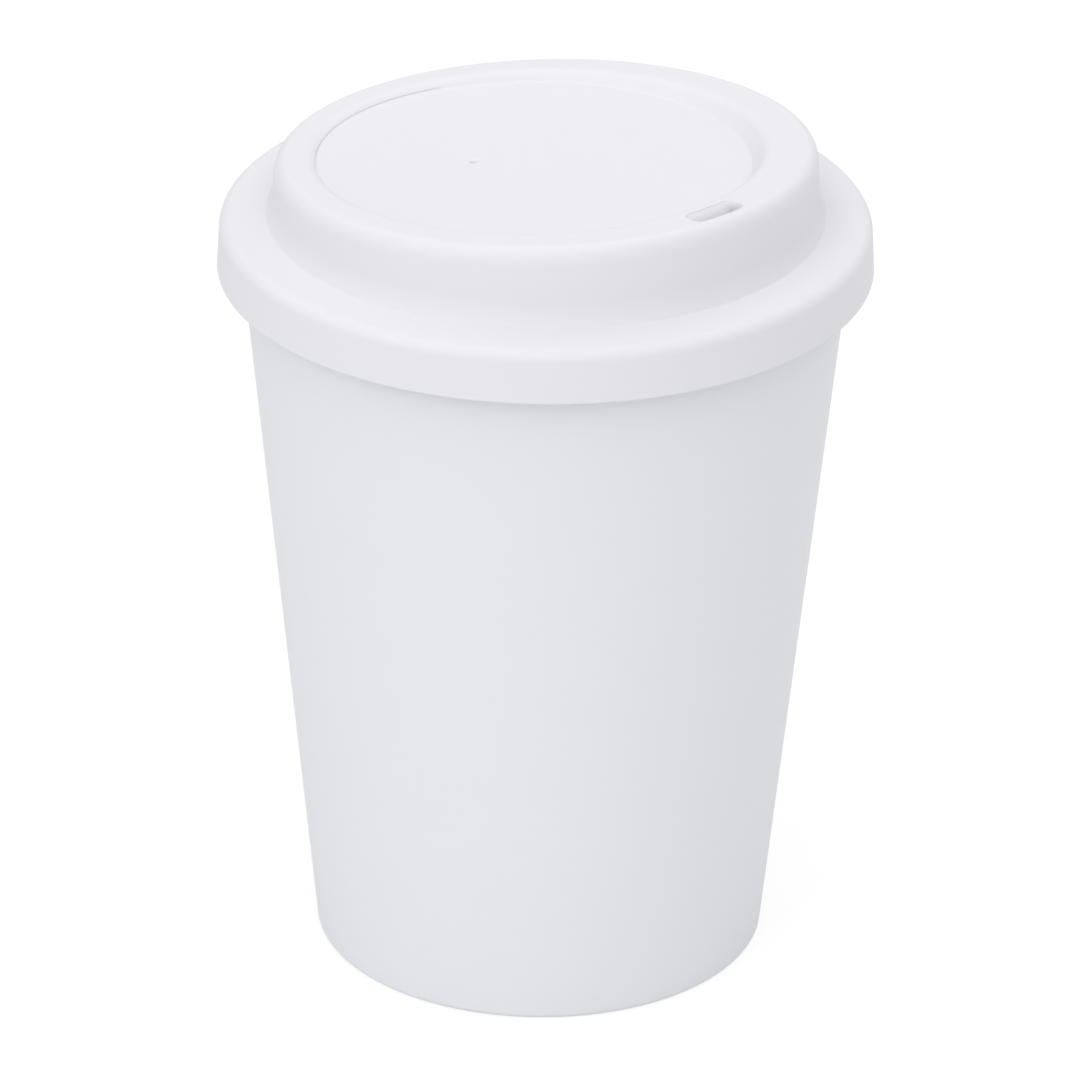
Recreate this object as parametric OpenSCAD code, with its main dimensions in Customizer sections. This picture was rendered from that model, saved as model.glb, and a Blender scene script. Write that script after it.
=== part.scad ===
// Reusable to-go cup: a plain tapered cup, and a press-on lid with a raised drinking ring.
// The cup stands on the XY plane with its axis on Z, and is seen along +Y. The ring's top leans,
// highest near the drinking slot, and a round recess with a sloping wall is sunk into it, a little
// off the axis. The recess's floor has a lean of its own and sinks a little in the middle.
// Directions are angles around Z, counted from +X.

/* [Cup] */
// Outside diameter of the cup where it stands
base_d = 64.6; // [60:0.1:70]
// Outside diameter of the cup at its rim, without the lip
mouth_d = 87; // [84:0.1:92]
// Height of the rim above the table
cup_h = 110.45; // [90:0.05:150]
// Thickness of the cup's wall
cup_wall = 1.8; // [1.4:0.1:2.4]
// Thickness of the cup's floor
floor_t = 2; // [1.4:0.1:3]
// Height of the hollow under the floor
foot_h = 2.2; // [1:0.1:4]
// Width of the ring that the cup stands on
foot_w = 3; // [2.4:0.1:5]
// Rounding of the cup's outer bottom edge
base_round = 1; // [0.4:0.1:1.5]
// Rounding between the wall and the floor inside the cup
inner_round = 4; // [1:0.5:8]
// How far the lip stands out of the wall at the rim
lip_out = 0.85; // [0.5:0.05:1.1]
// Height of the lip
lip_h = 3; // [2.4:0.1:4]
// Rounding of the rim's edges
rim_round = 0.8; // [0.4:0.1:1]

/* [Lid] */
// Thickness of the lid's walls
lid_t = 1.6; // [1.2:0.05:2]
// Room between the lip and the lid's skirt
lid_gap = 0.2; // [0.15:0.05:0.4]
// How far the skirt reaches down from the rim
skirt_h = 6; // [4:0.1:9]
// How much the skirt widens downwards, in mm for each mm of height
skirt_draft = 0.056; // [0:0.002:0.08]
// Rounding of the shoulder between skirt and shelf
shoulder_round = 1.9; // [1:0.1:2.4]
// Width of the shelf, from the shoulder to the foot of the ring
shelf_w = 6.5; // [5.6:0.1:7.5]
// How much the shelf rises towards the ring
shelf_rise = 0.65; // [0:0.05:1]
// Rounding of the lid's lower edges
edge_round = 0.3; // [0.1:0.05:0.5]
// How far the plug reaches down into the cup
plug_h = 5; // [3.5:0.1:8]
// Thickness of the plug's wall
plug_t = 1.4; // [1:0.1:1.6]
// Room between the plug and the cup's wall
plug_gap = 0.3; // [0.25:0.05:0.5]
// How far the sealing bead stands out of the plug
bead = 0.15; // [0.05:0.05:0.2]

/* [Drinking ring] */
// Height of the ring's top above the shelf, on the axis
ring_h = 9.92; // [8:0.01:14]
// How far the foot of the ring stands out of its wall
ring_foot = 0.95; // [0.4:0.05:1.5]
// Height of the ring's flared foot
foot_flare_h = 1.8; // [1:0.1:3]
// Rounding of the ring's flared foot
flare_round = 7; // [2:0.5:7.5]
// How much the ring's wall narrows upwards, in mm for each mm of height
ring_draft = 0.035; // [0:0.005:0.06]
// Rounding of the ring's outer top edge
crest_round = 2; // [1:0.1:2.5]
// Lean of the ring's top
top_tilt = 3.7; // [0:0.1:5]
// Direction in which the ring's top is highest
top_tilt_to = -58; // [-180:1:180]

/* [Recess] */
// Width of the ring's top, from its outer edge to where the recess's wall would meet it unrounded
ring_w = 6.2; // [5.8:0.1:8]
// Depth of the recess's leaning floor on the axis, without its dish
recess_depth = 2.15; // [1.6:0.05:3]
// Slope of the recess's wall
recess_slope = 55; // [45:1:80]
// Rounding of the recess's upper edge
recess_round = 2; // [0.8:0.1:2.2]
// How far the recess lies off the axis
recess_shift = 1.3; // [0:0.05:2]
// Direction in which the recess lies off the axis
recess_shift_to = 157; // [-180:1:180]
// Lean of the recess's floor
floor_tilt = 2.1; // [0:0.1:3]
// Direction in which the recess's floor is highest
floor_tilt_to = -83; // [-180:1:180]
// How far the recess's floor sinks in its middle
floor_dish = 0.4; // [0.1:0.05:0.8]

/* [Openings] */
// Distance of the drinking slot's middle from the ring's outer edge
slot_in = 4.15; // [3.8:0.05:4.4]
// Direction of the drinking slot
slot_to = -47; // [-180:0.5:180]
// Length of the drinking slot, along the ring
slot_l = 8.9; // [6:0.1:14]
// Width of the drinking slot at the ring's top
slot_w = 3.6; // [3:0.1:3.8]
// Rounding of the drinking slot's corners
slot_round = 1.3; // [0.5:0.1:1.4]
// How much narrower the drinking slot is at its underside, where its inner wall slopes
slot_draft = 0.95; // [0:0.05:1]
// Diameter of the vent hole
vent_d = 0.85; // [0.6:0.05:2]
// Rounding of the vent hole's upper edge
vent_edge = 0.8; // [0.2:0.05:1]
// Distance of the vent hole from the axis
vent_r = 10.5; // [4:0.1:20]
// Direction of the vent hole
vent_to = 168.5; // [-180:0.5:180]

/* [Hidden] */
$fn = 96;
// Straight pieces in the outline of each rounding
arc_steps = 8;
// Overshoot of cuts past the faces they go through
over = 1;
// Room that a tilted cut needs to reach past the whole lid
beyond = mouth_d;

// Cup
base_r = base_d / 2;
mouth_r = mouth_d / 2;
lip_r = mouth_r + lip_out;
inside_z = foot_h + floor_t;
function wall_r(z) = base_r + (mouth_r - base_r) * z / cup_h;

// Lid
skirt_z = cup_h - skirt_h;
seat_r = lip_r + lid_gap;
function skirt_r(z) = seat_r + lid_t + skirt_draft * (cup_h - z);
shelf_z = cup_h + lid_t;
plug_z = cup_h - plug_h;
function plug_r(z) = wall_r(z) - cup_wall - plug_gap;
bead_z = cup_h - plug_h / 2;
seat_round = rim_round;

// Ring
top_z = shelf_z + ring_h;
ring_foot_r = skirt_r(shelf_z) - shelf_w;
ring_foot_z = shelf_z + shelf_rise;
ring_base_r = ring_foot_r - ring_foot;
function ring_wall_r(z) = ring_base_r - ring_draft * (z - ring_foot_z);
ring_r = ring_wall_r(top_z);
// The rounded top edge starts a little inside the wall, and opens outwards below its rounding
crest_lead = 0.2;
crest_open = 15;
crest_clear = 2;
// Above the highest point of the ring
above_z = top_z + ring_r * tan(top_tilt) + over;

// Recess, in the plane of the ring's leaning top and measured from the recess's middle
// Radius in which the unrounded wall meets the top
recess_r = ring_r - ring_w;
// Radius in which the rounding of the wall's upper edge starts
recess_rim_r = recess_r + recess_round * tan(recess_slope / 2);
// How far the cut of the wall reaches down, past the deepest floor
recess_reach = recess_depth + ring_h / 2;
recess_end_r = recess_r - recess_reach / tan(recess_slope);
recess_middle = recess_shift * [cos(recess_shift_to), sin(recess_shift_to)];
// Radius of the dished floor's edge, and the floor's height over its lean at a radius
floor_r = recess_r - recess_depth / tan(recess_slope);
function dish_z(r) = floor_dish * (pow(r / floor_r, 2) - 1);
// Straight pieces in the dish's outline. The first is level, and the last ends past the recess's wall
dish_steps = 12;
dish_end_r = recess_rim_r + lid_t;
dish = [for (i = [1:dish_steps]) let (r = dish_end_r * i / dish_steps) [r, dish_z(r)]];

// Slot
slot_outer_r = ring_r - slot_in + slot_w / 2;
// Half of the turn that the slot takes, between the middles of its end corners
slot_turn = (slot_l / 2 - slot_round) / (ring_r - slot_in) * 180 / PI;
// How far the slot's plan reaches past its sloping wall, so that the two cross
slot_past = 0.05;

// Vent
vent_middle = vent_r * [cos(vent_to), sin(vent_to)];
vent_z = dish_z(norm(vent_middle - recess_middle));

function unit(v) = v / norm(v);
function turned(v, a) = [v.x * cos(a) - v.y * sin(a), v.x * sin(a) + v.y * cos(a)];
function turn(u, v) = atan2(u.x * v.y - u.y * v.x, u * v);

// Points that round the corner b, between a and c, with the radius that b carries
function rounding(a, b, c) =
    let (p = [b.x, b.y], u = unit([a.x, a.y] - p), v = unit([c.x, c.y] - p), half = acos(u * v) / 2)
    let (centre = p + unit(u + v) * b.z / sin(half), start = p + u * b.z / tan(half) - centre)
    let (sweep = turn(start, p + v * b.z / tan(half) - centre))
    [for (i = [0:arc_steps]) centre + turned(start, sweep * i / arc_steps)];

// Outline through corners given as [radius from the axis, height, rounding]
function outline(corners) =
    let (last = len(corners) - 1)
    [for (i = [0:last])
        let (a = corners[i == 0 ? last : i - 1], b = corners[i], c = corners[i == last ? 0 : i + 1])
        each (b.z == 0 ? [[b.x, b.y]] : rounding(a, b, c))];

module turned_solid(corners) {
    rotate_extrude() polygon(outline(corners));
}

// Leans its children by angle a, up towards direction to, around the axis at height z
module leaning(z, a, to) {
    translate([0, 0, z]) rotate([0, 0, to]) rotate([0, -a, 0]) rotate([0, 0, -to]) children();
}

module cup() {
    color([0.89, 0.9, 0.92]) turned_solid([
        [0, foot_h, 0],
        [wall_r(foot_h) - foot_w, foot_h, 0.6],
        [base_r - foot_w, 0, 0.3],
        [base_r, 0, base_round],
        [wall_r(cup_h - lip_h), cup_h - lip_h, 0],
        [lip_r, cup_h - lip_h + lip_out, 0.3],
        [lip_r, cup_h, rim_round],
        [mouth_r - cup_wall, cup_h, rim_round],
        [wall_r(inside_z) - cup_wall, inside_z, inner_round],
        [0, inside_z, 0],
    ]);
}

// Everything of the lid inside its turned outer surface, with the ring still too tall
module lid_outside() {
    turned_solid([
        [0, skirt_z, 0],
        [skirt_r(skirt_z), skirt_z, edge_round],
        [skirt_r(shelf_z), shelf_z, shoulder_round],
        [ring_foot_r, ring_foot_z, 0],
        [ring_wall_r(ring_foot_z + foot_flare_h), ring_foot_z + foot_flare_h, flare_round],
        [ring_wall_r(above_z), above_z, 0],
        [0, above_z, 0],
    ]);
}

// The lid's turned inside: the groove over the rim, the plug, and the hollow of the ring
module lid_inside() {
    below_z = skirt_z - over;
    turned_solid([
        [0, below_z, 0],
        [skirt_r(below_z) - lid_t, below_z, 0],
        [seat_r, cup_h, seat_round],
        [plug_r(cup_h), cup_h, 0],
        [plug_r(bead_z + 4 * bead), bead_z + 4 * bead, 0],
        [plug_r(bead_z) + bead, bead_z, 0.5],
        [plug_r(bead_z - 4 * bead), bead_z - 4 * bead, 0],
        [plug_r(plug_z), plug_z, 0.6],
        [plug_r(plug_z) - plug_t, plug_z, 0.5],
        [plug_r(cup_h) - plug_t, cup_h, 0.5],
        [ring_wall_r(ring_foot_z) - lid_t, cup_h, 0.5],
        [ring_wall_r(above_z) - lid_t, above_z, 0],
        [0, above_z, 0],
    ]);
}

// Everything under the ring's leaning top and its rounded outer edge, or that shape set in by the wall
module under_top(inset = 0) {
    edge_r = ring_r - crest_lead - inset;
    round = max(crest_round - inset, edge_round);
    leaning(top_z, top_tilt, top_tilt_to) turned_solid([
        [0, -inset, 0],
        [edge_r, -inset, round],
        [edge_r, -inset - round * 1.01, 0],
        [edge_r + crest_clear * tan(crest_open), -inset - round - crest_clear, 0],
        [beyond, -inset - round - crest_clear, 0],
        [beyond, -beyond, 0],
        [0, -beyond, 0],
    ]);
}

module recess_place() {
    rotate([0, 0, recess_shift_to]) translate([recess_shift, 0, 0]) children();
}

module on_top() {
    leaning(top_z, top_tilt, top_tilt_to) children();
}

module on_floor() {
    leaning(top_z - recess_depth, floor_tilt, floor_tilt_to) children();
}

// Everything over the recess's leaning, dished floor, or over the underside of that floor
module over_floor(inset = 0) {
    on_floor() recess_place() translate([0, 0, -inset]) rotate_extrude() polygon([
        [0, beyond],
        [0, dish[0].y],
        each dish,
        [beyond, dish_z(dish_end_r)],
        [beyond, beyond],
    ]);
}

// The recess, its upper edge rounded into the ring's top
module recess() {
    intersection() {
        on_top() recess_place() rotate_extrude() difference() {
            polygon([
                [0, over],
                [recess_rim_r, over],
                [recess_rim_r, 0],
                [recess_rim_r - recess_round * sin(recess_slope), -recess_round * (1 - cos(recess_slope))],
                [recess_end_r, -recess_reach],
                [0, -recess_reach],
            ]);
            translate([recess_rim_r, -recess_round]) circle(r = recess_round);
        }
        over_floor();
    }
}

// The recess's wall and floor seen from inside the lid
module recess_shell() {
    set_out = lid_t / sin(recess_slope);
    intersection() {
        on_top() recess_place() translate([0, 0, -recess_reach])
            cylinder(r1 = recess_end_r + set_out, r2 = recess_r + set_out, h = recess_reach);
        over_floor(lid_t);
    }
}

// The room of the slot in plan, which follows the ring
module slot_plan() {
    wide = slot_w + slot_past;
    height = lid_t + 2 * over;
    translate([0, 0, over - height]) {
        rotate([0, 0, slot_to - slot_turn]) rotate_extrude(angle = 2 * slot_turn)
            translate([slot_outer_r - wide, 0]) square([wide, height]);
        for (side = [-1, 1]) rotate([0, 0, slot_to + side * slot_turn]) translate([slot_outer_r, 0, 0]) {
            translate([slot_round - wide, -slot_round, 0]) cube([wide - 2 * slot_round, 2 * slot_round, height]);
            for (middle = [-slot_round, slot_round - wide]) translate([middle, 0, 0])
                cylinder(r = slot_round, h = height);
        }
    }
}

// The slot goes through the ring's top, with a sloping wall on its inner side
module slot() {
    inner_r = slot_outer_r - slot_w;
    below = lid_t + 2 * over;
    on_top() intersection() {
        slot_plan();
        rotate_extrude() polygon([
            [inner_r, 2 * over],
            [inner_r, 0],
            [inner_r + slot_draft * below / lid_t, -below],
            [slot_outer_r + over, -below],
            [slot_outer_r + over, 2 * over],
        ]);
    }
}

// The vent hole goes through the recess's floor and opens upwards with a rounded edge
module vent() {
    hole_r = vent_d / 2;
    on_floor() translate([vent_middle.x, vent_middle.y, vent_z]) rotate_extrude() difference() {
        translate([0, -lid_t - over]) square([hole_r + vent_edge, lid_t + 2 * over]);
        translate([hole_r, -lid_t - 2 * over]) square([vent_edge + over, lid_t + 2 * over - vent_edge]);
        translate([hole_r + vent_edge, -vent_edge]) circle(r = vent_edge);
    }
}

module lid() {
    color([0.93, 0.93, 0.945]) difference() {
        intersection() {
            lid_outside();
            under_top();
        }
        difference() {
            intersection() {
                lid_inside();
                under_top(lid_t);
            }
            recess_shell();
        }
        recess();
        slot();
        vent();
    }
}

cup();
lid();
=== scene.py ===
"""A plain white reusable coffee cup with its lid pressed on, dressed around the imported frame.

Shapes are worked out in millimetres and made in metres. Directions are angles around Z from +X.
"""

import math

import bmesh
import bpy
import numpy as np
from mathutils import Matrix, Vector
from mathutils.geometry import delaunay_2d_cdt


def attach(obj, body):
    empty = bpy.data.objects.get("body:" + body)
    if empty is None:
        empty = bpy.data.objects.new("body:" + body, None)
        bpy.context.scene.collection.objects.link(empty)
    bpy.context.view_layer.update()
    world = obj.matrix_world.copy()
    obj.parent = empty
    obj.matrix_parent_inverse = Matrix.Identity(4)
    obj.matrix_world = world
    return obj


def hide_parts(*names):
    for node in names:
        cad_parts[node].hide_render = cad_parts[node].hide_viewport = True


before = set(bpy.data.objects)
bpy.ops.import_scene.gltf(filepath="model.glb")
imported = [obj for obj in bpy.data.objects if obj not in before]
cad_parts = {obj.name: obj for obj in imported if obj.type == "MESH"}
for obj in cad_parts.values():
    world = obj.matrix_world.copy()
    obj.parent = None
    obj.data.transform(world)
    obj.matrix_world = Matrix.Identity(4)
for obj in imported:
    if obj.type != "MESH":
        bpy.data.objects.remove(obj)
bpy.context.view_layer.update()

MM = 0.001
ROUND = 288              # points round each loop
LEAD = 0.08              # short straight stretch beside each rounding, so that long faces stay true
THETA = np.arange(ROUND) * 2 * math.pi / ROUND

# Cup
BASE_R = 32.3
MOUTH_R = 43.5
CUP_H = 110.45
CUP_WALL = 1.8
FLOOR_T = 2
FOOT_H = 2.2
FOOT_W = 3
BASE_ROUND = 1
INNER_ROUND = 4
LIP_OUT = 0.85
LIP_H = 3
RIM_ROUND = 0.8
LIP_R = MOUTH_R + LIP_OUT
INSIDE_Z = FOOT_H + FLOOR_T

# Lid
LID_T = 1.6
LID_GAP = 0.2
SKIRT_Z = CUP_H - 6
SKIRT_DRAFT = 0.056
SHOULDER_ROUND = 1.9
SHELF_W = 6.5
SHELF_RISE = 0.65
EDGE_ROUND = 0.3
PLUG_Z = CUP_H - 5
PLUG_T = 1.4
PLUG_GAP = 0.3
BEAD = 0.15
BEAD_Z = CUP_H - 2.5
SEAT_R = LIP_R + LID_GAP
SHELF_Z = CUP_H + LID_T

# Drinking ring, whose top leans up towards TOP_TO
RING_FOOT = 0.95
FLARE_H = 1.8
FLARE_ROUND = 7
RING_DRAFT = 0.035
CREST_ROUND = 1.8
CREST_STRETCH = 1.4
TOP_Z = SHELF_Z + 9.92
TOP_TILT = math.radians(3.7)
TOP_TO = math.radians(-58)

# Recess in the ring's top, with a floor of its own lean that sinks a little in the middle
RING_W = 6.2
RECESS_DEPTH = 2.15
RECESS_SLOPE = math.radians(55)
RECESS_ROUND = 2
RECESS_FILLET = 0.5
RECESS_SHIFT = 1.3
RECESS_TO = math.radians(157)
FLOOR_TILT = math.radians(2.1)
FLOOR_TO = math.radians(-83)
FLOOR_DISH = 0.4

# Drinking slot and vent hole
SLOT_IN = 4.15
SLOT_TO = math.radians(-47)
SLOT_L = 8.9
SLOT_W = 3.6
SLOT_ROUND = 1.3
SLOT_DRAFT = 0.95        # how much narrower the slot is at its underside
SLOT_EDGE = 0.12
VENT_R = 0.42
VENT_AT = 10.5
VENT_TO = math.radians(168.5)
VENT_EDGE = 0.8
VENT_POINTS = 40

# Painted glow on the inside faces, an emission that stands in for light coming through the thin plastic: its
# strength just under the ring's leaning top, its share deep inside, and the depths between which it fades
PAINTED_GLOW = 0.26
PAINTED_GLOW_DEEP = 0.12
PAINTED_GLOW_FROM = -0.2
PAINTED_GLOW_TO = 1.4


def wall_r(z):
    """Outside radius of the cup's wall."""
    return BASE_R + (MOUTH_R - BASE_R) * z / CUP_H


def skirt_r(z):
    """Outside radius of the lid's skirt."""
    return SEAT_R + LID_T + SKIRT_DRAFT * (CUP_H - z)


def plug_r(z):
    """Outside radius of the lid's plug."""
    return wall_r(z) - CUP_WALL - PLUG_GAP


FOOT_R = skirt_r(SHELF_Z) - SHELF_W
FOOT_Z = SHELF_Z + SHELF_RISE


def ring_r(z):
    """Outside radius of the drinking ring's wall."""
    return FOOT_R - RING_FOOT - RING_DRAFT * (z - FOOT_Z)


RECESS_R = ring_r(TOP_Z) - RING_W
FLOOR_R = RECESS_R - RECESS_DEPTH / math.tan(RECESS_SLOPE)


def unit(v):
    return v / np.linalg.norm(v, axis=-1, keepdims=True)


def rounded(a, b, c, radius, steps, stretch=1):
    """Points (r, z) that round corner b, between a and c: a short lead, the arc, a short lead.

    stretch makes an ellipse of it, which reaches further towards c.
    """
    u, v = unit(a - b), unit(c - b)
    half = np.arccos(np.clip((u * v).sum(-1, keepdims=True), -1, 1)) / 2
    reach = radius / np.tan(half)
    start, end, pull = b + u * reach, b + v * reach * stretch, 2 * np.sin(half)
    arc = [((1 - t) ** 2 * start + pull * t * (1 - t) * b + t ** 2 * end)
           / ((1 - t) ** 2 + pull * t * (1 - t) + t ** 2) for t in np.linspace(0, 1, steps + 1)]
    return [b + u * (reach + LEAD), *arc, b + v * (reach * stretch + LEAD)]


def profile(corners):
    """Rows of points (r, z) for every direction, through corners (r, z, rounding, steps, splits).

    r and z are numbers, or one value for each direction. splits is the number of rows between a
    corner and the next, and a sixth value stretches the rounding towards that next one. The first
    and the last corner only say where the profile comes from and where it goes, and get no rows.
    """
    spots = [np.stack(np.broadcast_arrays(c[0], c[1], THETA)[:2], -1).astype(float) for c in corners]
    bends = [rounded(*spots[i - 1:i + 2], *corners[i][2:4], *corners[i][5:])
             for i in range(1, len(spots) - 1)]
    rows = []
    for corner, bend, after in zip(corners[1:], bends, bends[1:] + [None]):
        rows += bend
        if after and corner[4]:
            rows += [bend[-1] + (after[0] - bend[-1]) * t
                     for t in np.linspace(0, 1, corner[4] + 2)[1:-1]]
    return rows


def around(rows):
    """Rows of (r, z) as loops of (x, y, z) round the axis."""
    return [np.stack([r[:, 0] * np.cos(THETA), r[:, 0] * np.sin(THETA), r[:, 1]], -1) for r in rows]


def inside(points, loop):
    """Which points (x, y) lie inside a closed loop."""
    x, y = points[:, :1], points[:, 1:2]
    x0, y0 = loop[:, 0], loop[:, 1]
    x1, y1 = np.roll(x0, -1), np.roll(y0, -1)
    with np.errstate(divide="ignore", invalid="ignore"):
        crosses = ((y0 > y) != (y1 > y)) & (x < (x1 - x0) * (y - y0) / (y1 - y0) + x0)
    return crosses.sum(1) % 2 == 1


class Skin:
    """Gathers loops of points and the faces between them into one closed mesh."""

    def __init__(self):
        self.points = []
        self.faces = []
        self.painted_glow_faces = []         # for each face, whether it is on the inside and so gets the material with the painted glow
        self.facing_in = False

    def add(self, xyz):
        start = len(self.points)
        self.points.extend(tuple(p) for p in xyz)
        return list(range(start, len(self.points)))

    def wrap(self, loops):
        """Faces between each loop and the next. Returns the first and the last loop's points."""
        ids = [self.add(loop) if isinstance(loop, np.ndarray) else loop for loop in loops]
        for a, b in zip(ids, ids[1:]):
            for i in range(len(a)):
                j = (i + 1) % len(a)
                self.faces.append((a[i], a[j], b[j], b[i]))
                self.painted_glow_faces.append(self.facing_in)
        return ids[0], ids[-1]

    def plate(self, outer, holes, height, spacing=2.4):
        """A flat plate inside the loop outer and outside the holes, at height(x, y)."""
        at = np.array(self.points)
        rims = [at[loop][:, :2] for loop in (outer, *holes)]
        reach = np.abs(rims[0]).max()
        rows = np.arange(-reach, reach, spacing * 0.866)
        grid = np.array([(x + spacing / 2 * (i % 2), y) for i, y in enumerate(rows)
                         for x in np.arange(-reach, reach, spacing)])
        keep = inside(grid, rims[0])
        for rim in rims[1:]:
            keep &= ~inside(grid, rim)
        for rim in rims:
            keep &= np.linalg.norm(grid[:, None] - rim[None], axis=2).min(1) > spacing * 0.45
        grid = grid[keep]
        fresh = self.add([(x, y, height(x, y)) for x, y in grid])
        ids = [*outer, *(i for hole in holes for i in hole), *fresh]
        flat = [Vector(p) for p in np.vstack([*rims, grid])]
        edges, start = [], 0
        for rim in rims:
            edges += [(start + i, start + (i + 1) % len(rim)) for i in range(len(rim))]
            start += len(rim)
        verts, _, faces, came_from, _, _ = delaunay_2d_cdt(flat, edges, [], 0, 1e-7, True)
        centres = np.array([[sum(verts[i].x for i in f) / 3, sum(verts[i].y for i in f) / 3] for f in faces])
        keep = inside(centres, rims[0])
        for rim in rims[1:]:
            keep &= ~inside(centres, rim)
        for face, kept in zip(faces, keep):
            if kept:
                self.faces.append(tuple(ids[came_from[i][0]] for i in face))
                self.painted_glow_faces.append(self.facing_in)

    def mesh(self, name):
        """The finished object, in metres, with its faces turned outwards."""
        data = bpy.data.meshes.new(name)
        data.from_pydata([(x * MM, y * MM, z * MM) for x, y, z in self.points], [], self.faces)
        # faces on the inside take the second material, which carries the painted glow
        data.polygons.foreach_set("material_index", self.painted_glow_faces)
        bm = bmesh.new()
        bm.from_mesh(data)
        bmesh.ops.recalc_face_normals(bm, faces=bm.faces)
        bm.to_mesh(data)
        bm.free()
        data.shade_smooth()
        data.set_sharp_from_angle(angle=math.radians(35))
        piece = bpy.data.objects.new(name, data)
        bpy.context.scene.collection.objects.link(piece)
        return piece


def make_cup():
    skin = Skin()
    under_r = wall_r(FOOT_H) - FOOT_W
    inner_r = wall_r(INSIDE_Z) - CUP_WALL
    outer_rim, inner_rim = (LIP_R, CUP_H, RIM_ROUND, 9, 0), (MOUTH_R - CUP_WALL, CUP_H, RIM_ROUND, 9, 40)
    first, rim = skin.wrap(around(profile([
        (under_r - 3, FOOT_H, 0, 0, 0),
        (under_r, FOOT_H, 0.6, 6, 0),
        (BASE_R - FOOT_W, 0, 0.3, 5, 1),
        (BASE_R, 0, BASE_ROUND, 10, 44),
        (wall_r(CUP_H - LIP_H), CUP_H - LIP_H, 0.2, 4, 0),
        (LIP_R, CUP_H - LIP_H + LIP_OUT, 0.3, 5, 0),
        outer_rim,
        inner_rim,
    ])))
    skin.plate(first, [], lambda x, y: FOOT_H)
    skin.facing_in = True
    _, last = skin.wrap([rim, *around(profile([
        outer_rim,
        inner_rim,
        (inner_r, INSIDE_Z, INNER_ROUND, 14, 0),
        (inner_r - INNER_ROUND - 1, INSIDE_Z, 0, 0, 0),
    ]))])
    skin.plate(last, [], lambda x, y: INSIDE_Z)
    return skin.mesh("cup_body")


LEAN = np.array(
    Matrix.Rotation(TOP_TO, 3, "Z") @ Matrix.Rotation(-TOP_TILT, 3, "Y") @ Matrix.Rotation(-TOP_TO, 3, "Z"))


def slope(tilt, towards):
    return math.tan(tilt) * np.array([math.cos(towards), math.sin(towards)])


def plane(z, tilt, towards, below=0.0, dish=0.0):
    """Height over (x, y) of a leaning plane, or of one that lies below it by its thickness.

    dish is how far it sinks in the middle of the recess.
    """
    sx, sy = slope(tilt, towards)
    mx, my = RECESS_SHIFT * math.cos(RECESS_TO), RECESS_SHIFT * math.sin(RECESS_TO)
    return lambda x, y: (z + sx * x + sy * y - below / math.cos(tilt)
                         + dish * (((x - mx) ** 2 + (y - my) ** 2) / FLOOR_R ** 2 - 1))


TOP = plane(TOP_Z, TOP_TILT, TOP_TO)
UNDER_TOP = plane(TOP_Z, TOP_TILT, TOP_TO, LID_T)
FLOOR = plane(TOP_Z - RECESS_DEPTH, FLOOR_TILT, FLOOR_TO, dish=FLOOR_DISH)
UNDER_FLOOR = plane(TOP_Z - RECESS_DEPTH, FLOOR_TILT, FLOOR_TO, LID_T, FLOOR_DISH)


def in_recess(rows):
    """Rows of (distance from the recess's middle, height over the ring's leaning top) as loops."""
    middle = RECESS_SHIFT * np.array([math.cos(RECESS_TO), math.sin(RECESS_TO)])
    return [np.stack([middle[0] + r[:, 0] * np.cos(THETA), middle[1] + r[:, 0] * np.sin(THETA), r[:, 1]], -1)
            @ LEAN.T + np.array([0, 0, TOP_Z]) for r in rows]


def meet(surface, radius, inwards=0.0):
    """Where a line down from the ring's top meets a surface, in each direction.

    It starts at that radius in the recess and runs inwards by so many mm for each mm down.
    """
    deep = np.zeros(ROUND)
    for _ in range(8):
        x, y, z = in_recess([np.stack([radius - inwards * deep, -deep], -1)])[0].T
        deep += z - surface(x, y)
    return radius - inwards * deep, -deep


def recess_rows(top_r, top_z, floor, edge, fillet):
    """The recess's wall, from the face (top_r, top_z) that it starts in to the floor."""
    foot_r, foot_z = meet(floor, top_r - top_z / math.tan(RECESS_SLOPE), 1 / math.tan(RECESS_SLOPE))
    return profile([
        (top_r + 1, top_z, 0, 0, 0),
        (top_r, top_z, edge, 16, 1),
        (foot_r, foot_z, fillet, 5, 0),
        (foot_r - 1, meet(floor, foot_r - 1)[1], 0, 0, 0),
    ])


def slot_rim():
    """The slot's upper rim in plan, the way out at each of its points, and its lower rim."""
    wide, long = SLOT_W / 2 - SLOT_ROUND, SLOT_L / 2 - SLOT_ROUND
    middle_r = ring_r(TOP_Z) - SLOT_IN
    corners = np.array([(wide, long), (-wide, long), (-wide, -long), (wide, -long), (wide, long)])
    upper, outward, lower = [], [], []
    for k in range(4):
        bend = [(corners[k], t) for t in np.linspace(0, 1, 10)]
        side = [(corners[k] * (1 - t) + corners[k + 1] * t, 1) for t in np.linspace(0, 1, 12)[1:-1]]
        for at, t in bend + side:
            a = (k + t) * math.pi / 2
            way = np.array([math.cos(a), math.sin(a)])
            x, y = at + SLOT_ROUND * way
            turn = SLOT_TO + y / middle_r
            spin = np.array([[math.cos(turn), -math.sin(turn)], [math.sin(turn), math.cos(turn)]])
            upper.append(spin @ (middle_r + x, 0))
            outward.append(spin @ way)
            lower.append(spin @ (middle_r + max(x, SLOT_DRAFT - SLOT_W / 2), 0))
    return np.array(upper), np.array(outward), np.array(lower)


def vent_rim():
    """The vent hole's rim in plan, and the way out at each of its points."""
    a = np.arange(VENT_POINTS)[:, None] * 2 * math.pi / VENT_POINTS
    outward = np.hstack([np.cos(a), np.sin(a)])
    middle = VENT_AT * np.array([math.cos(VENT_TO), math.sin(VENT_TO)])
    return middle + VENT_R * outward, outward


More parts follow.
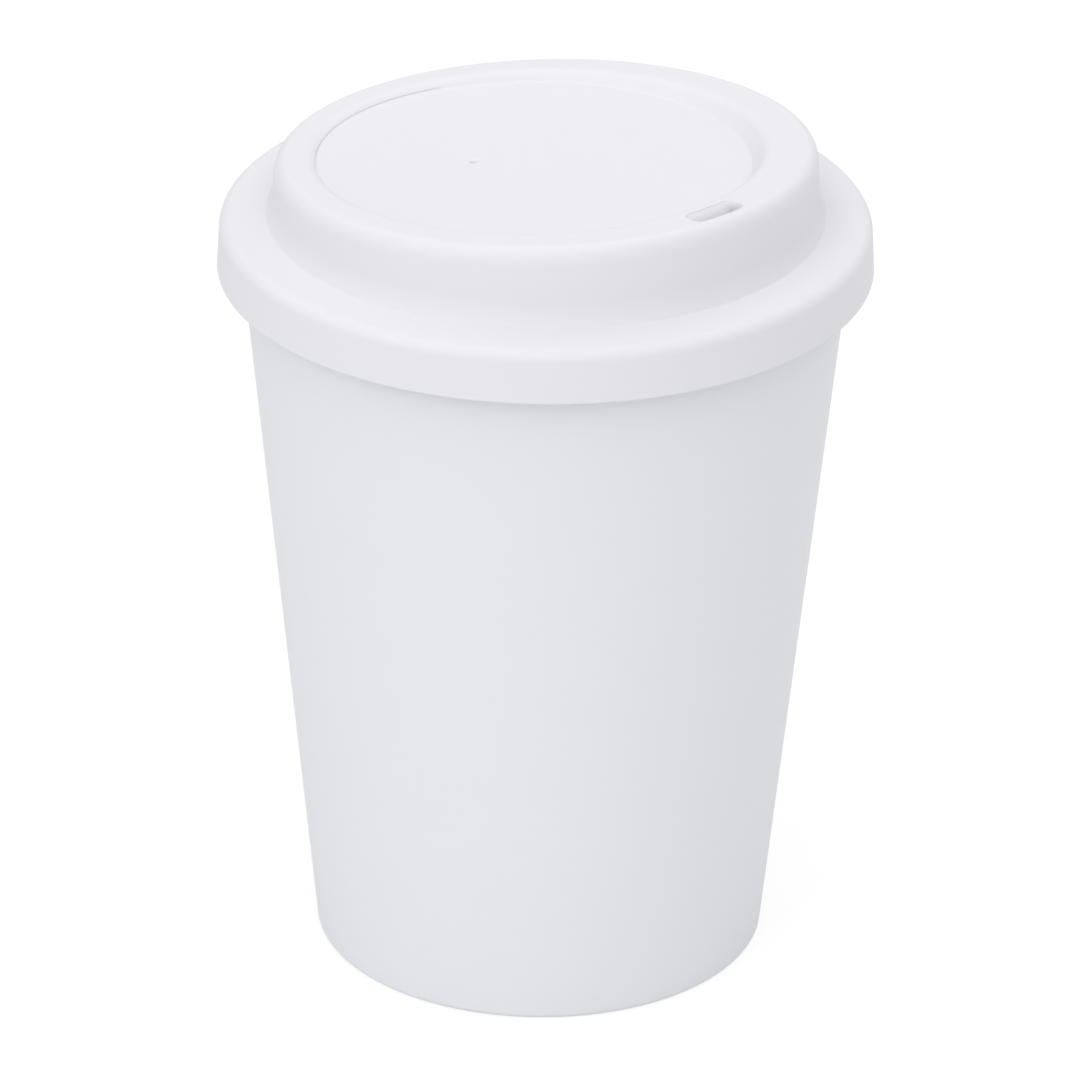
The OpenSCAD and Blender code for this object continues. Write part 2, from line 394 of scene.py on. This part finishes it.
def hole_edge(rim, outward, edge, top):
    """Loops from a face of the lid over a hole's rounded edge."""
    loops = []
    for t in np.linspace(0, 1, 10) * math.pi / 2:
        xy = rim + outward * edge * (1 - math.sin(t))
        loops.append(np.column_stack([xy, top(*xy.T) - edge * (1 - math.cos(t))]))
    outer = rim + outward * (edge + LEAD / 2)
    return [np.column_stack([outer, top(*outer.T)]), *loops]


def hole_wall(start, rim, bottom):
    """Loops down a hole's wall, from the loop that ends its rounded edge to its lower rim."""
    end = np.column_stack([rim, bottom(*rim.T)])
    return [start * (1 - t) + end * t for t in (0.3, 0.6, 0.9, 1)]


def make_lid():
    skin = Skin()
    sx, sy = slope(TOP_TILT, TOP_TO)
    lean = sx * np.cos(THETA) + sy * np.sin(THETA)

    def on_ring(r_at_top, below):
        """Where the ring's wall, or its inside, meets the leaning top or its underside."""
        r = r_at_top / (1 + RING_DRAFT * lean)
        return r, TOP_Z - below + lean * r

    crest_r, crest_z = on_ring(ring_r(TOP_Z), 0)
    under_r, under_z = on_ring(ring_r(TOP_Z) - LID_T, LID_T / math.cos(TOP_TILT))
    flat_r = ring_r(TOP_Z) - RING_W / 2
    bead = 4 * BEAD
    plug_foot = (plug_r(PLUG_Z), PLUG_Z, 0.6, 6, 0)
    plug_inside = (plug_r(PLUG_Z) - PLUG_T, PLUG_Z, 0.5, 6, 3)
    first, plug = skin.wrap(around(profile([
        (flat_r, TOP_Z + lean * flat_r, 0, 0, 0),
        (crest_r, crest_z, CREST_ROUND, 18, 6, CREST_STRETCH),
        (ring_r(FOOT_Z + FLARE_H), FOOT_Z + FLARE_H, FLARE_ROUND, 8, 0),
        (FOOT_R, FOOT_Z, 0.15, 4, 5),
        (skirt_r(SHELF_Z), SHELF_Z, SHOULDER_ROUND, 14, 5),
        (skirt_r(SKIRT_Z), SKIRT_Z, EDGE_ROUND, 5, 0),
        (skirt_r(SKIRT_Z) - LID_T, SKIRT_Z, EDGE_ROUND, 5, 3),
        (SEAT_R, CUP_H, RIM_ROUND, 6, 1),
        (plug_r(CUP_H), CUP_H, 0.15, 3, 0),
        (plug_r(BEAD_Z + bead), BEAD_Z + bead, 0.3, 3, 0),
        (plug_r(BEAD_Z) + BEAD, BEAD_Z, 0.5, 4, 0),
        (plug_r(BEAD_Z - bead), BEAD_Z - bead, 0.3, 3, 0),
        plug_foot,
        plug_inside,
    ])))
    slope_out = 1 / math.sin(RECESS_SLOPE) - 1 / math.tan(RECESS_SLOPE)
    brink, recess_floor = skin.wrap(in_recess(
        recess_rows(RECESS_R, 0, FLOOR, RECESS_ROUND, RECESS_FILLET)))
    slot, slot_out, slot_lower = slot_rim()
    vent, vent_out = vent_rim()
    slot_edge = hole_edge(slot, slot_out, SLOT_EDGE, TOP)
    vent_edge = hole_edge(vent, vent_out, VENT_EDGE, FLOOR)
    slot_top, slot_brim = skin.wrap(slot_edge)
    vent_top, vent_brim = skin.wrap(vent_edge)
    skin.plate(first, [brink, slot_top], TOP, 1.6)
    skin.plate(recess_floor, [vent_top], FLOOR)
    skin.facing_in = True
    _, last = skin.wrap([plug, *around(profile([
        plug_foot,
        plug_inside,
        (plug_r(CUP_H) - PLUG_T, CUP_H, 0.5, 5, 0),
        (ring_r(FOOT_Z) - LID_T, CUP_H, 0.5, 5, 6),
        (under_r, under_z, 0.3, 5, 0),
        (flat_r, TOP_Z - LID_T / math.cos(TOP_TILT) + lean * flat_r, 0, 0, 0),
    ]))])
    ceiling, recess_under = skin.wrap(in_recess(
        recess_rows(RECESS_R + LID_T * slope_out, -LID_T, UNDER_FLOOR, 0.25, 0.25)))
    _, slot_under = skin.wrap([slot_brim, *hole_wall(slot_edge[-1], slot_lower, UNDER_TOP)])
    _, vent_under = skin.wrap([vent_brim, *hole_wall(vent_edge[-1], vent, UNDER_FLOOR)])
    skin.plate(last, [ceiling, slot_under], UNDER_TOP, 1.6)
    skin.plate(recess_under, [vent_under], UNDER_FLOOR)
    return skin.mesh("press_on_lid")


def plastic(name, colour, mottle, roughness, grains, painted_glow=0.0):
    """White moulded plastic. grains are (size in mm, height in mm) of the bumps of its matt face.

    The last argument is the strength of a painted glow: emission on an inside face that stands in for light
    coming through the thin wall. It fades with the depth under the ring's leaning top, so the drinking
    slot's wall has most of it.
    """
    material = bpy.data.materials.new(name)
    material.use_nodes = True
    nodes, links = material.node_tree.nodes, material.node_tree.links
    shader = nodes["Principled BSDF"]
    place = nodes.new("ShaderNodeTexCoord")

    def noise(size, detail):
        node = nodes.new("ShaderNodeTexNoise")
        node.inputs["Scale"].default_value = 1 / (size * MM)
        node.inputs["Detail"].default_value = detail
        node.inputs["Roughness"].default_value = 0.55
        links.new(place.outputs["Object"], node.inputs["Vector"])
        return node.outputs["Fac"]

    tint = nodes.new("ShaderNodeMix")
    tint.data_type = "RGBA"
    tint.inputs["A"].default_value = (*(c * (1 - mottle) for c in colour), 1)
    tint.inputs["B"].default_value = (*(min(c * (1 + mottle), 1) for c in colour), 1)
    links.new(noise(9, 4), tint.inputs["Factor"])
    links.new(tint.outputs["Result"], shader.inputs["Base Color"])

    gloss = nodes.new("ShaderNodeMapRange")
    gloss.inputs["To Min"].default_value = roughness - 0.05
    gloss.inputs["To Max"].default_value = roughness + 0.05
    links.new(noise(2.2, 3), gloss.inputs["Value"])
    links.new(gloss.outputs["Result"], shader.inputs["Roughness"])

    normal = None
    for size, height in grains:
        bump = nodes.new("ShaderNodeBump")
        bump.inputs["Strength"].default_value = 1
        bump.inputs["Distance"].default_value = height * MM
        links.new(noise(size, 2), bump.inputs["Height"])
        if normal:
            links.new(normal, bump.inputs["Normal"])
        normal = bump.outputs["Normal"]
    links.new(normal, shader.inputs["Normal"])
    shader.inputs["IOR"].default_value = 1.49
    if painted_glow:
        # painted glow: emission strongest just under the ring's top and fading deeper, in place of light
        # coming through the thin wall
        depth = nodes.new("ShaderNodeVectorMath")
        depth.operation = "DOT_PRODUCT"
        depth.inputs[1].default_value = (*slope(TOP_TILT, TOP_TO), -1)
        links.new(place.outputs["Object"], depth.inputs[0])
        painted_glow_ramp = nodes.new("ShaderNodeMapRange")
        painted_glow_ramp.interpolation_type = "SMOOTHSTEP"
        painted_glow_ramp.inputs["From Min"].default_value = (PAINTED_GLOW_FROM - TOP_Z) * MM
        painted_glow_ramp.inputs["From Max"].default_value = (PAINTED_GLOW_TO - TOP_Z) * MM
        painted_glow_ramp.inputs["To Min"].default_value = painted_glow
        painted_glow_ramp.inputs["To Max"].default_value = painted_glow * PAINTED_GLOW_DEEP
        links.new(depth.outputs["Value"], painted_glow_ramp.inputs["Value"])
        links.new(painted_glow_ramp.outputs["Result"], shader.inputs["Emission Strength"])
        shader.inputs["Emission Color"].default_value = (*colour, 1)
        material.cycles.emission_sampling = "NONE"
    return material


# Colour, unevenness of the colour, roughness, and grains as (size, height)
CUP = ((0.779, 0.787, 0.826), 0.006, 0.6, [(0.6, 0.004), (0.25, 0.003)])
LID = ((0.768, 0.761, 0.798), 0.004, 0.6, [(0.6, 0.002), (0.22, 0.001)])

for make, node, look in ((make_cup, "cup", CUP), (make_lid, "lid", LID)):
    piece = make()
    piece.data.materials.append(plastic(node + "_plastic", *look))
    # the inside material has the painted glow
    piece.data.materials.append(plastic(node + "_plastic_inside_painted_glow", *look, PAINTED_GLOW))
    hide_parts(node)
    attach(piece, node)


def make_floor():
    """A pale floor, white where nothing shades it, that keeps the object's soft shadow."""
    grey, glow, glow_share, half = 0.9, 1.06, 0.75, 4
    data = bpy.data.meshes.new("floor")
    corners = [(-half, -half, 0), (half, -half, 0), (half, half, 0), (-half, half, 0)]
    data.from_pydata(corners, [], [(0, 1, 2, 3)])
    floor = bpy.data.objects.new("floor", data)
    bpy.context.scene.collection.objects.link(floor)
    material = bpy.data.materials.new("floor_paper")
    material.use_nodes = True
    nodes, links = material.node_tree.nodes, material.node_tree.links
    shader = nodes["Principled BSDF"]
    shader.inputs["Base Color"].default_value = (grey, grey, grey, 1)
    shader.inputs["Roughness"].default_value = 0.9
    white = nodes.new("ShaderNodeEmission")
    white.inputs["Strength"].default_value = glow
    path = nodes.new("ShaderNodeLightPath")
    share = nodes.new("ShaderNodeMath")
    share.operation = "MULTIPLY"
    share.inputs[1].default_value = glow_share
    mix = nodes.new("ShaderNodeMixShader")
    links.new(path.outputs["Is Camera Ray"], share.inputs[0])
    links.new(share.outputs[0], mix.inputs["Fac"])
    links.new(shader.outputs[0], mix.inputs[1])
    links.new(white.outputs[0], mix.inputs[2])
    links.new(mix.outputs[0], nodes["Material Output"].inputs["Surface"])
    data.materials.append(material)


def make_world(strength):
    """Even studio light from all round, seen by the camera as white."""
    world = bpy.data.worlds.new("studio")
    bpy.context.scene.world = world
    world.use_nodes = True
    nodes, links = world.node_tree.nodes, world.node_tree.links
    light = nodes["Background"]
    light.inputs["Color"].default_value = (1, 1, 1, 1)
    light.inputs["Strength"].default_value = strength
    seen = nodes.new("ShaderNodeBackground")
    seen.inputs["Color"].default_value = (1, 1, 1, 1)
    path = nodes.new("ShaderNodeLightPath")
    mix = nodes.new("ShaderNodeMixShader")
    links.new(path.outputs["Is Camera Ray"], mix.inputs["Fac"])
    links.new(light.outputs[0], mix.inputs[1])
    links.new(seen.outputs[0], mix.inputs[2])
    links.new(mix.outputs[0], nodes["World Output"].inputs["Surface"])


def make_lamp(name, azimuth, elevation, watts, size, distance):
    """A soft square lamp in that direction, in degrees, that faces the cup's middle."""
    a, e = math.radians(azimuth), math.radians(elevation)
    middle = Vector((0, 0, 0.07))
    way = Vector((math.cos(e) * math.cos(a), math.cos(e) * math.sin(a), math.sin(e)))
    data = bpy.data.lights.new(name, "AREA")
    data.size = size
    data.energy = watts
    lamp = bpy.data.objects.new(name, data)
    lamp.location = middle + way * distance
    lamp.rotation_euler = way.to_track_quat("Z", "Y").to_euler()
    bpy.context.scene.collection.objects.link(lamp)


def make_camera():
    """The photograph's viewpoint, fitted to the outline of cup and lid."""
    yaw, pitch, roll = 0.000327, 0.461609, -0.010390
    focal, width, sensor = 9000.9, 1080, 36
    right = np.array([math.cos(yaw), math.sin(yaw), 0])
    ahead = np.array([-math.sin(yaw) * math.cos(pitch), math.cos(yaw) * math.cos(pitch), -math.sin(pitch)])
    down = np.cross(ahead, right)
    across = right * math.cos(roll) + down * math.sin(roll)
    below = -right * math.sin(roll) + down * math.cos(roll)
    data = bpy.data.cameras.new("camera")
    data.sensor_fit = "HORIZONTAL"
    data.sensor_width = sensor
    data.lens = focal / width * sensor
    data.clip_start, data.clip_end = 0.05, 50
    camera = bpy.data.objects.new("camera", data)
    turn = Matrix((across, -below, -ahead)).transposed().to_4x4()
    camera.matrix_world = Matrix.Translation((0, -1157.845 * MM, 636.706 * MM)) @ turn
    bpy.context.scene.collection.objects.link(camera)
    bpy.context.scene.camera = camera


make_floor()
make_world(0.625)
make_lamp("front", 270, 55, 14.8, 2.4, 2)
make_lamp("front_left", 225, 30, 5.8, 1.4, 2)
make_lamp("overhead", 0, 90, 0.45, 0.5, 0.7)
make_lamp("back_left", 135, 60, 0.5, 0.5, 0.7)
make_lamp("back_right", 45, 30, 0.69, 0.5, 0.7)
make_camera()
bpy.context.scene.view_settings.view_transform = "Standard"
